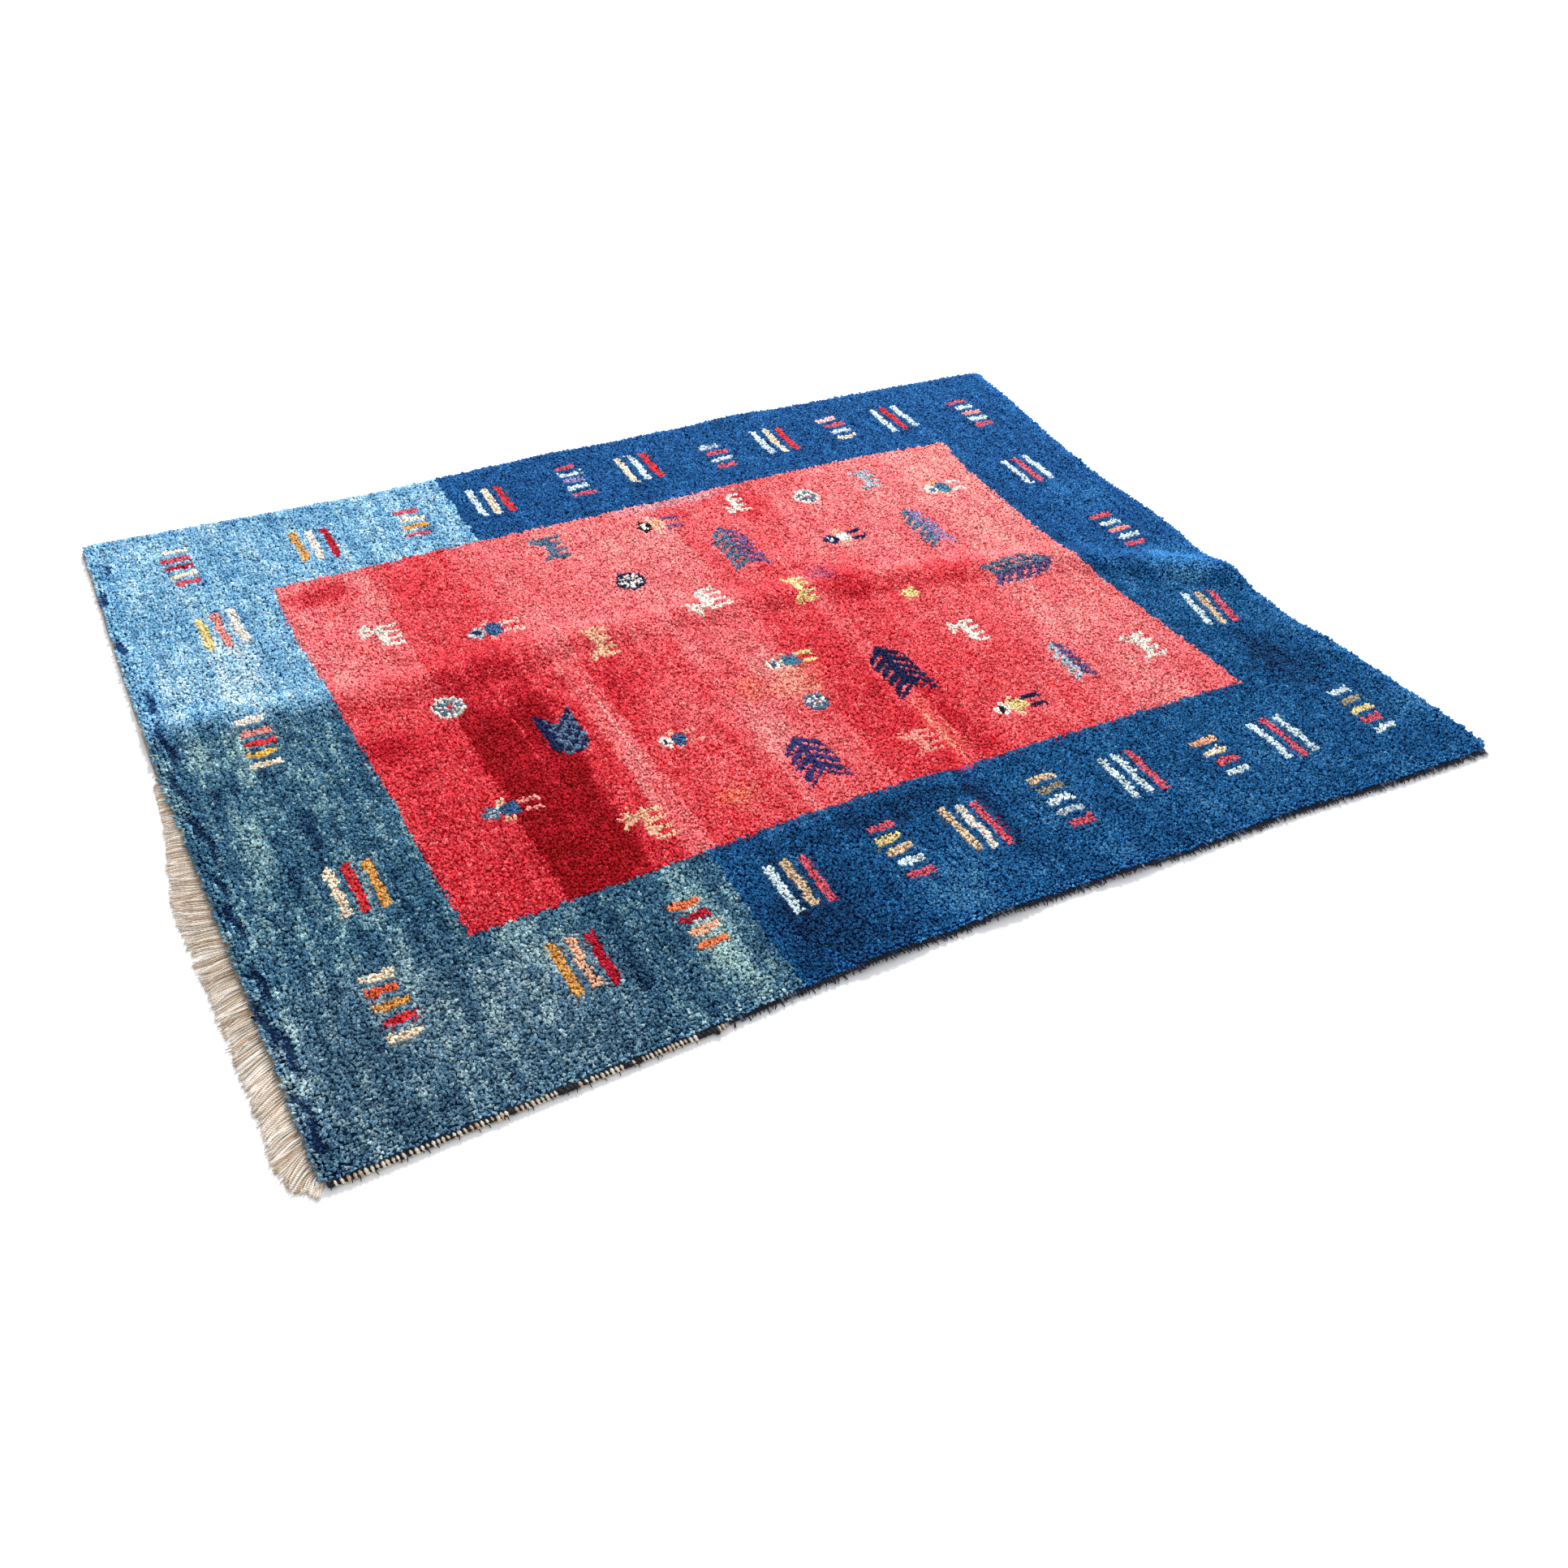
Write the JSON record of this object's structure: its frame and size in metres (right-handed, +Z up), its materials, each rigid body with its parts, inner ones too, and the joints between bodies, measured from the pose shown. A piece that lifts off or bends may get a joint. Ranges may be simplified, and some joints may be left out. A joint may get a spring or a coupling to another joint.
{
  "type": "gabbeh rug",
  "caption": "Hand-knotted wool gabbeh lying on a floor: thick pile cloth, overcast sides, cotton fringe at one end, and the soft folds it was left in.",
  "frame": {"origin": "on the floor under the middle of the rug, where the underside lies flat", "axes": "+X along the warp towards the plain end, the fringed end at -X; +Y across the rug towards the far side; +Z up"},
  "size_m": [2.0264, 1.5482, 0.0298],
  "materials": {
    "wool_pile": "matte",
    "cream_yarn": "matte",
    "navy_yarn": "matte",
    "cotton_warp": "matte"
  },
  "bodies": {
    "root": {"knotted_cloth": "wool_pile", "near_binding_cream": "cream_yarn", "near_binding_navy": "navy_yarn", "far_binding_cream": "cream_yarn", "far_binding_navy": "navy_yarn", "end_fringe": "cotton_warp"}
  },
  "joints": []
}
